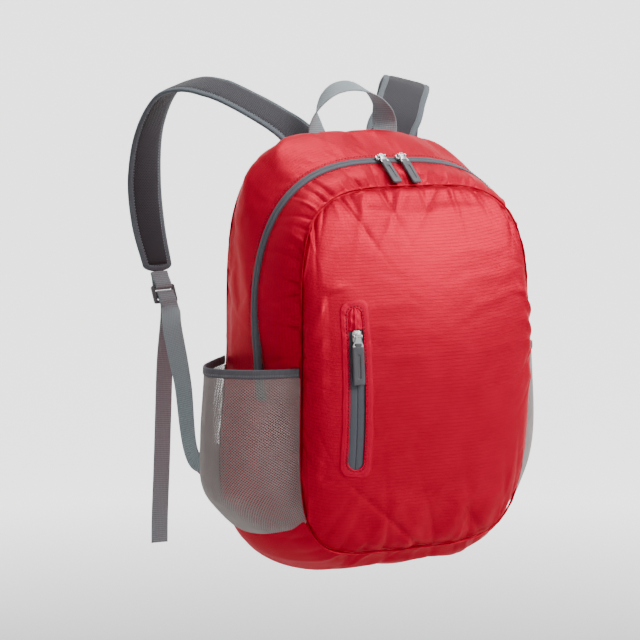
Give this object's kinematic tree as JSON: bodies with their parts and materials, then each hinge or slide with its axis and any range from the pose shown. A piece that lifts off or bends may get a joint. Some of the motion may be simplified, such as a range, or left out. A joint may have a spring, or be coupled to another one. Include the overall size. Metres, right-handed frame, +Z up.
{
  "type": "packable backpack",
  "caption": "Light packable daypack with a ripstop shell, a curved main zip, a zipped front pocket, mesh side pockets, a haul loop and padded shoulder straps.",
  "frame": {"origin": "centre of the back panel's outer face, where the bag lies against the wearer's back", "axes": "+Z up, +Y towards the wearer and -Y out through the front panel, +X to the wearer's right"},
  "size_m": [0.3857, 0.3796, 0.4949],
  "materials": {
    "ripstop": "satin",
    "trim_cloth": "satin",
    "zip_tape": "matte",
    "zip_metal": "satin",
    "grip_rubber": "matte",
    "pocket_net": "matte",
    "hem_elastic": "matte",
    "webbing": "matte",
    "strap_mesh": "matte",
    "buckle_plastic": "matte"
  },
  "bodies": {
    "backpack": {"back_panel": "ripstop", "rear_gusset": "ripstop", "front_gusset": "ripstop", "base_gusset": "ripstop", "front_panel": "ripstop", "main_zip_tape": "zip_tape", "pocket_welt": "trim_cloth", "pocket_zip_tape": "zip_tape", "pocket_garage": "trim_cloth", "haul_loop": "webbing", "slider_left": "zip_metal", "slider_right": "zip_metal", "pocket_slider": "zip_metal", "mesh_pocket_left": "pocket_net", "pocket_hem_left": "hem_elastic", "strap_pad_left": "strap_mesh", "strap_binding_left": "webbing", "strap_keeper_left": "webbing", "buckle_left": "buckle_plastic", "strap_wing_left": "trim_cloth", "strap_webbing_left": "webbing", "mesh_pocket_right": "pocket_net", "pocket_hem_right": "hem_elastic", "strap_pad_right": "strap_mesh", "strap_binding_right": "webbing", "strap_keeper_right": "webbing", "buckle_right": "buckle_plastic", "strap_wing_right": "trim_cloth", "strap_webbing_right": "webbing"},
    "main_pull_left": {"puller_left": "zip_metal", "grip_left": "grip_rubber"},
    "main_pull_right": {"puller_right": "zip_metal", "grip_right": "grip_rubber"},
    "pocket_pull": {"pocket_puller": "zip_metal", "pocket_grip": "grip_rubber"}
  },
  "joints": [
    {"name": "main_pull_left_swing", "type": "hinge", "parent": "backpack", "child": "main_pull_left", "pos_m": [-0.00813, -0.07295, 0.18535], "axis": [-1, -0.0005, -0.006], "range_deg": [0, 150]},
    {"name": "main_pull_right_swing", "type": "hinge", "parent": "backpack", "child": "main_pull_right", "pos_m": [0.01508, -0.07294, 0.18533], "axis": [-1, 0.0008, 0.0091], "range_deg": [0, 150]},
    {"name": "pocket_pull_swing", "type": "hinge", "parent": "backpack", "child": "pocket_pull", "pos_m": [-0.08404, -0.16204, 0.01688], "axis": [-0.9877, 0.1565, 0.0002], "range_deg": [0, 150]}
  ]
}
